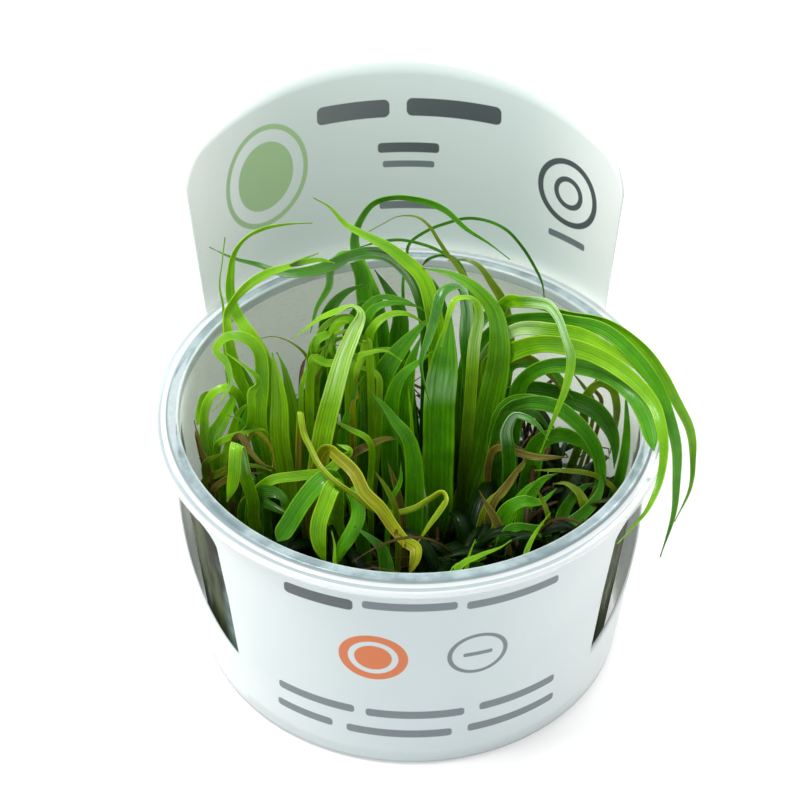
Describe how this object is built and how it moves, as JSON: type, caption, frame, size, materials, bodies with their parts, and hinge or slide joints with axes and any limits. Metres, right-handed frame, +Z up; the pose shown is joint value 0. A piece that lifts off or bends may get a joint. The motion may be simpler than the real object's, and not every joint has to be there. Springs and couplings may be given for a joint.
{
  "type": "potted aquarium plant",
  "caption": "Clear round tub with a printed wrap and a tall curved back panel, holding a tuft of grass-like water plant whose strap leaves arch up and over the rim.",
  "frame": {"origin": "centre of the cup's flat underside", "axes": "+Z up through the cup's mouth, -Y to the front of the wrap, +X to the right seen from the front"},
  "size_m": [0.0853, 0.0864, 0.0781],
  "materials": {
    "cup": "clear, glossy",
    "wrap": "white printed sheet, satin",
    "roots": "fibrous, damp",
    "dark": "satin leaf",
    "gloss": "wet leaf",
    "lime": "satin leaf",
    "lime_pale": "satin leaf, pale side",
    "mid": "satin leaf",
    "olive": "satin leaf",
    "teal": "satin leaf",
    "two_tone": "satin leaf",
    "withered": "dry leaf",
    "yellow": "dying leaf"
  },
  "bodies": {
    "root": {"cup": "cup", "wrap": "wrap", "root_mat": "roots", "leaf_left_hook": "lime", "leaf_left_thread": "lime", "leaf_left_arch": "lime_pale", "leaf_left_wave": "lime", "leaf_left_curl": "lime", "leaf_left_blade_a": "mid", "leaf_left_blade_b": "dark", "leaf_left_dark": "dark", "leaf_left_hang": "lime", "leaf_left_broad": "mid", "leaf_left_fold": "lime", "leaf_front_strap": "mid", "leaf_front_droop": "lime", "leaf_front_loop": "mid", "leaf_front_stub": "withered", "leaf_cross_strap": "lime", "leaf_withered_strap": "withered", "leaf_left_thin": "yellow", "leaf_fold_over": "lime_pale", "leaf_long_dying": "yellow", "leaf_yellow": "yellow", "leaf_tuft_a": "lime", "leaf_tuft_b": "olive", "leaf_tuft_c": "lime_pale", "leaf_olive_arch": "olive", "leaf_back_droop": "mid", "leaf_dark_back": "dark", "leaf_high_arch": "mid", "leaf_olive_back": "olive", "leaf_thin_arch": "teal", "leaf_teal_back": "teal", "leaf_dark_sweep": "dark", "leaf_tall_point": "lime", "leaf_side_point": "mid", "leaf_crown_droop": "gloss", "leaf_crown_pale": "lime_pale", "leaf_keel": "mid", "leaf_keel_right": "two_tone", "leaf_blur_back": "olive", "leaf_diagonal": "mid", "leaf_inner_blade": "mid", "leaf_dark_tongue": "dark", "leaf_gloss_tongue": "gloss", "leaf_slender": "lime", "leaf_small_arch": "lime", "leaf_right_outer": "lime", "leaf_right_over_rim": "mid", "leaf_right_inner_rim": "lime", "leaf_right_pale": "lime_pale", "leaf_right_lower": "mid", "leaf_right_under": "dark", "leaf_right_curve": "teal", "leaf_right_hang": "lime", "leaf_right_olive": "olive", "leaf_right_gloss": "gloss", "leaf_right_low": "mid", "leaf_right_wall": "olive"}
  },
  "joints": []
}
